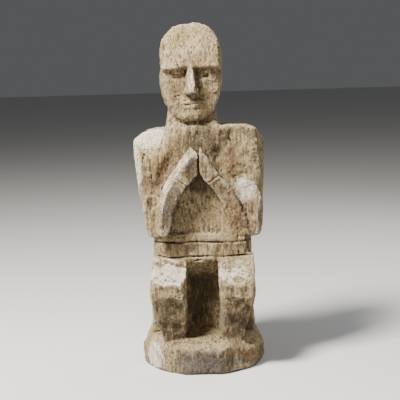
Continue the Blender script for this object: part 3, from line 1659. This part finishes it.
@dataclass
class Age:
    """What use and weather did to the wood: adze facets, crust, grain, checks and stains."""

    facets: int = 330
    facet_radius: Pair = (28.0, 75.0)
    facet_depth: Pair = (0.4, 1.0)
    checks: int = 6

    def hew_facets(self, block: Block) -> None:
        """Leaves the carver's shallow cuts all over the body.

        Args:
            block: the block of wood.
        """
        rng = np.random.default_rng(31)
        low, high = Extent.of("seat_block"), Extent.of("head")
        body = block.on_skin((-90, -90, low.low[2]), (90, 90, high.high[2]), self.facets, 32)
        face_front = high.low[1] + 12
        for at, out in body:
            on_face = at.z > high.low[2] and at.y < face_front
            raised = at.y < Extent.of("trunk").low[1] - 2 and at.z > Extent.of("trunk").low[2]
            radius, depth = rng.uniform(*self.facet_radius), rng.uniform(*self.facet_depth)
            scoop = Scoop(at, out, radius, depth)
            if not on_face and not raised and scoop.clear(block):
                scoop.cut(block)

    def crack(self, block: Block) -> None:
        """Opens the long drying checks that run with the grain.

        Args:
            block: the block of wood.
        """
        trunk = Extent.of("trunk")
        front, back, foot = trunk.low[1], trunk.high[1], trunk.low[2]
        checks = [
            ([(40, front - 0.5, foot + 81), (40.5, front - 0.5, foot + 69)], 2.0, 3.2, (0, -1, 0)),
            ([(55, front - 0.5, foot + 46), (56, front - 0.5, foot + 39)], 2.2, 3.0, (0, -1, 0)),
            ([(14, back, foot + 118), (16, back + 1, foot + 70), (13, back + 1, foot + 20)],
             2.6, 9.0, (0, 1, 0)),
            ([(-27, back, foot + 96), (-26, back, foot + 52)], 2.0, 6.0, (0, 1, 0)),
            ([(-10, -48, 143.5), (6, -48, 143)], 1.8, 3.0, (0, -1, 0)),
        ]
        rng = np.random.default_rng(61)
        for points, width, depth, out in checks:
            self._split(block, points, width, depth, out, rng)
        for side in (-1, 1):
            low, high = (-90, -60, 52), (-56, 60, 300)
            if side > 0:
                low, high = (56, -60, 52), (90, 60, 300)
            for at, out in block.on_skin(low, high, self.checks, 62 + side):
                half, lean = rng.uniform(9, 26), rng.uniform(-0.05, 0.05)
                ends = [tuple(at + Vector((0, lean * s * half, s * half))) for s in (-1, 1)]
                self._split(block, ends, rng.uniform(0.9, 1.5), 2.0, tuple(out), rng)

    def _split(self, block: Block, ends: Sequence[Triple], width: float, depth: float,
               out: Triple, rng: np.random.Generator) -> None:
        """Opens one check that wanders a little and is widest in the middle.

        Args:
            block: the block.
            ends: points along the check.
            width: at its widest.
            depth: at its deepest.
            out: the direction it opens in.
            rng: the source of the wandering.
        """
        line = [Vector(ends[0])]
        for start, end in zip(ends, ends[1:]):
            run = Vector(end) - Vector(start)
            count = max(2, round(run.length / 7))
            side = run.cross(Vector(out)).normalized()
            for k in range(1, count + 1):
                line.append(Vector(start) + run * (k / count) + side * rng.uniform(-0.7, 0.7))
        points = [tuple(p) for p in line]
        block.score(points, width * 0.6, depth * 0.6, out)
        cut = max(1, len(points) // 5)
        if len(points) - 2 * cut >= 2:
            block.score(points[cut:-cut], width, depth, out)

    def erode(self, block: Block) -> None:
        """Roughens the skin with lumps, crust and grain, and wears the sharp edges.

        Args:
            block: the block of wood.
        """
        solid = (block.distance < 0).astype(np.float32)
        edges = 0.5 - sliding_mean(solid, max(1, round(3.0 / block.step)))
        lumps = 0.24 * block.noise((13, 13, 20), 41) + 0.20 * block.noise((6, 6, 9), 42)
        crust = 0.30 * block.noise((2.9, 2.9, 3.4), 43)
        grain = 0.16 * block.noise((3.0, 3.0, 30), 44)
        worn = np.clip(edges, 0, 1) * (0.2 + 1.8 * np.abs(block.noise((9, 9, 12), 45)))
        block.distance += lumps + crust + grain + worn
        floor = -block.axes[2].reshape(1, 1, -1)
        block.distance = np.maximum(block.distance, floor).astype(np.float32)

    def spots(self) -> list[Spot]:
        """Lists the stains, rubbed places and lichen.

        Returns:
            The patches.
        """
        trunk, plinth = Extent.of("trunk"), Extent.of("base")
        front, foot = trunk.low[1], trunk.low[2]
        knee = Extent.of("left_thigh").low[2]
        waist = Extent.of("left_thigh").high[2]
        legs = Extent.of("left_thigh").low[1]
        rim = plinth.low[1]
        return [
            Spot(Mask.RUST, (-46, front, foot + 96), (12, 12, 22), 0.9),
            Spot(Mask.RUST, (-56, front, foot + 50), (14, 14, 30), 0.55),
            Spot(Mask.RUST, (40, front, foot + 106), (9, 12, 22), 0.9),
            Spot(Mask.RUST, (44, front, foot + 32), (22, 14, 26), 0.8),
            Spot(Mask.RUST, (-40, front - 12, foot + 34), (14, 12, 40), 1.0, front=True),
            Spot(Mask.RUST, (-12, front - 14, foot + 92), (9, 8, 16), 0.8),
            Spot(Mask.RUST, (-64, -40, 84), (7, 30, 34), 0.9),
            Spot(Mask.RUST, (58, -52, 18), (14, 16, 12), 1.1),
            Spot(Mask.RUST, (30, 0, 400), (14, 40, 40), 0.45),
            Spot(Mask.RUST, (0, -50, 50), (22, 24, 10), 0.5),
            Spot(Mask.CHALK, (-41, legs + 10, waist - 18), (26, 24, 24), 1.2, level=True),
            Spot(Mask.CHALK, (40, legs + 10, waist - 20), (22, 22, 18), 1.0, level=True),
            Spot(Mask.CHALK, (58, front, foot + 65), (14, 12, 17), 1.05),
            Spot(Mask.CHALK, (-66, -30, foot + 134), (24, 26, 18), 1.1),
            Spot(Mask.CHALK, (-79, -34, foot + 100), (7, 16, 44), 0.8),
            Spot(Mask.CHALK, (-22, front - 12, foot + 104), (12, 8, 20), 0.7),
            Spot(Mask.CHALK, (-7, front - 12, 372), (5, 8, 22), 0.6),
            Spot(Mask.CHALK, (-7, 0, 446), (34, 40, 12), 0.5),
            Spot(Mask.CHALK, (-69, rim + 24, 18), (15, 26, 20), 1.4),
            Spot(Mask.LICHEN, (-6, rim, 16), (46, 14, 15), 0.85),
            Spot(Mask.SOOT, (-2, rim, 14), (60, 14, 19), 1.15),
            Spot(Mask.CHALK, (-14, rim, 14), (16, 12, 9), 0.75),
            Spot(Mask.LICHEN, (46, rim + 12, 14), (18, 14, 10), 0.6),
            Spot(Mask.SOOT, (0, -18, 92), (20, 24, 40), 1.3),
            Spot(Mask.SOOT, (0, front + 10, foot + 76), (24, 14, 16), 1.1),
            Spot(Mask.SOOT, (58, -24, 66), (14, 12, 24), 0.7),
            Spot(Mask.SOOT, (-40, legs + 8, 66), (32, 24, 42), 0.8),
            Spot(Mask.SOOT, (44, legs + 8, 66), (28, 24, 44), 0.85),
            Spot(Mask.SOOT, (0, -60, 38), (62, 24, 12), 0.52),
            Spot(Mask.SOOT, (2, front, foot + 128), (40, 12, 26), 0.85),
            Spot(Mask.SOOT, (-36, front - 14, foot + 50), (18, 12, 44), 0.95, front=True),
            Spot(Mask.SOOT, (12, front - 12, foot + 92), (12, 6, 16), 0.6),
            Spot(Mask.SOOT, (62, front, foot + 20), (24, 12, 24), 0.3),
            Spot(Mask.SOOT, (-11, front - 14, foot + 92), (10, 12, 22), 0.9, front=True),
            Spot(Mask.CHALK, (-34, front - 12, foot + 70), (24, 12, 50), 0.6),
            Spot(Mask.SOOT, (0, front - 2, foot - 10), (60, 14, 12), 0.6),
        ]

    def paint(self, block: Block, skin: Skin) -> None:
        """Works out every mask at the skin's points.

        Args:
            block: the finished block.
            skin: the skin that gets the masks.
        """
        solid = (block.distance < 0).astype(np.float32)
        wide = sliding_mean(sliding_mean(solid, round(7.0 / block.step)), round(4.0 / block.step))
        narrow = sliding_mean(solid, max(1, round(1.6 / block.step)))
        skin.masks[Mask.HOLLOW] = 2 * block.sample(wide, skin.points) - 1
        skin.masks[Mask.UP] = skin.normals[:, 2]
        skin.masks[Mask.CREASE] = 2 * block.sample(narrow, skin.points) - 1
        for mask in (Mask.SOOT, Mask.RUST, Mask.CHALK, Mask.LICHEN):
            total = np.zeros(len(skin.points))
            for spot in (s for s in self.spots() if s.mask is mask):
                away = (skin.points - spot.centre) / np.array(spot.reach)
                fade = np.exp(-0.7 * (away**2).sum(axis=1) ** 1.5)
                if spot.front:
                    facing = skin.normals[:, 0] * 0.35 - skin.normals[:, 1] * 0.94
                    fade *= np.clip((facing - 0.62) / 0.2, 0, 1)
                if spot.level:
                    fade *= np.clip((skin.normals[:, 2] - 0.25) / 0.3, 0, 1)
                total = np.maximum(total, spot.strength * fade)
            skin.masks[mask] = total


# ---------------------------------------------------------------------------------------------
# Studio
# ---------------------------------------------------------------------------------------------


@dataclass
class Studio:
    """A pale floor, soft lamps and the camera."""

    camera_at: Triple = (0.0, -1.25, 0.394)
    aim_height: float = 0.2145
    lens: float = 85.7
    roll: float = 1.6
    floor_reach: float = 12.0
    floor_colour: tuple = tint(0.62, 0.61, 0.59)
    sky: tuple = tint(0.85, 0.87, 0.90)
    sky_strength: float = 0.115

    def floor(self) -> None:
        """Lays the floor."""
        mesh = bpy.data.meshes.new("floor")
        r = self.floor_reach
        mesh.from_pydata([(-r, -r, 0), (r, -r, 0), (r, r, 0), (-r, r, 0)], [], [(0, 1, 2, 3)])
        floor = bpy.data.objects.new("floor", mesh)
        bpy.context.scene.collection.objects.link(floor)
        material = bpy.data.materials.new("floor")
        bench = Bench(material)
        sockets = {"Base Color": self.floor_colour, "Roughness": 0.6, "Specular IOR Level": 0.3}
        surface = bench.node("ShaderNodeBsdfPrincipled", {}, sockets)
        bench.node("ShaderNodeOutputMaterial", {}, {"Surface": surface})
        mesh.materials.append(material)

    def lamp(self, name: str, at: Triple, power: float, size: float, warmth: Triple) -> None:
        """Hangs one soft lamp that faces the figure.

        Args:
            name: the lamp's name.
            at: its place.
            power: in watts.
            size: width of its square face.
            warmth: its colour.
        """
        data = bpy.data.lights.new(name, "AREA")
        data.energy, data.size, data.color = power, size, warmth
        lamp = bpy.data.objects.new(name, data)
        lamp.location = at
        look = Vector((0, 0, 0.24)) - Vector(at)
        lamp.rotation_euler = look.to_track_quat("-Z", "Y").to_euler()
        bpy.context.scene.collection.objects.link(lamp)

    def light(self) -> None:
        """Sets the lamps and the sky."""
        self.lamp("key", (-0.66, -0.56, 1.34), 93, 0.35, (1.0, 0.97, 0.92))
        self.lamp("fill", (0.9, -1.2, 0.7), 2.5, 0.8, (0.97, 0.98, 1.0))
        self.lamp("rim", (0.8, 0.7, 0.9), 7, 0.5, (0.95, 0.97, 1.0))
        world = bpy.data.worlds.new("sky")
        bpy.context.scene.world = world
        world.use_nodes = True
        sky = world.node_tree.nodes["Background"]
        sky.inputs["Color"].default_value = self.sky
        sky.inputs["Strength"].default_value = self.sky_strength

    def camera(self) -> None:
        """Places the camera."""
        data = bpy.data.cameras.new("camera")
        data.lens, data.sensor_width = self.lens, 36.0
        camera = bpy.data.objects.new("camera", data)
        look = Vector((0, 0, self.aim_height)) - Vector(self.camera_at)
        turn = look.to_track_quat("-Z", "Y").to_matrix().to_4x4()
        tilt = Matrix.Rotation(math.radians(-self.roll), 4, "Z")
        camera.matrix_world = Matrix.Translation(self.camera_at) @ turn @ tilt
        bpy.context.scene.collection.objects.link(camera)
        bpy.context.scene.camera = camera


def main() -> None:
    """Builds the figure and its studio."""
    logging.basicConfig(level=logging.INFO, format="%(name)s: %(message)s", stream=sys.stdout)
    studio = Studio()
    studio.camera()
    studio.light()
    studio.floor()
    block = Block((-92.0, -90.0, -4.0), (92.0, 90.0, 456.0), FINE_STEP)
    log.info("block of %s points", block.shape)
    right_path = ((27, 249), (38, 231), (45, 212), (48, 188))
    parts = [
        Plinth(),
        Seat(),
        Leg(side=Side.LEFT, inset=5.0, splay=0.01, reach_out=1.5),
        Leg(side=Side.RIGHT, inset=1.0, splay=0.035, outer_lean=0.10),
        Waist(),
        Trunk(),
        Forearm(side=Side.LEFT, bevel=3.0, slant=1.0, relief=2.0, sink=12.5),
        Forearm(side=Side.RIGHT, path=right_path, halves=(12.5, 12, 11, 10.5), tip=11.0,
                tip_cut=0.75, palm=7.0, bevel=8.5),
        Head(),
    ]
    for part in parts:
        part.hew(block)
    age = Age()
    age.hew_facets(block)
    for part in parts:
        part.carve(block)
    age.crack(block)
    age.erode(block)
    for part in parts:
        part.incise(block)
    for part in parts:
        part.claim(block)
    skin = Skin(block)
    age.paint(block, skin)
    log.info("skin of %d points", len(skin.points))
    materials = {finish.slot: finish.material() for finish in (CRUSTED, WORN, PLINTH)}
    for part in parts:
        part.dress(skin, materials)


if __name__ == "__main__":
    main()
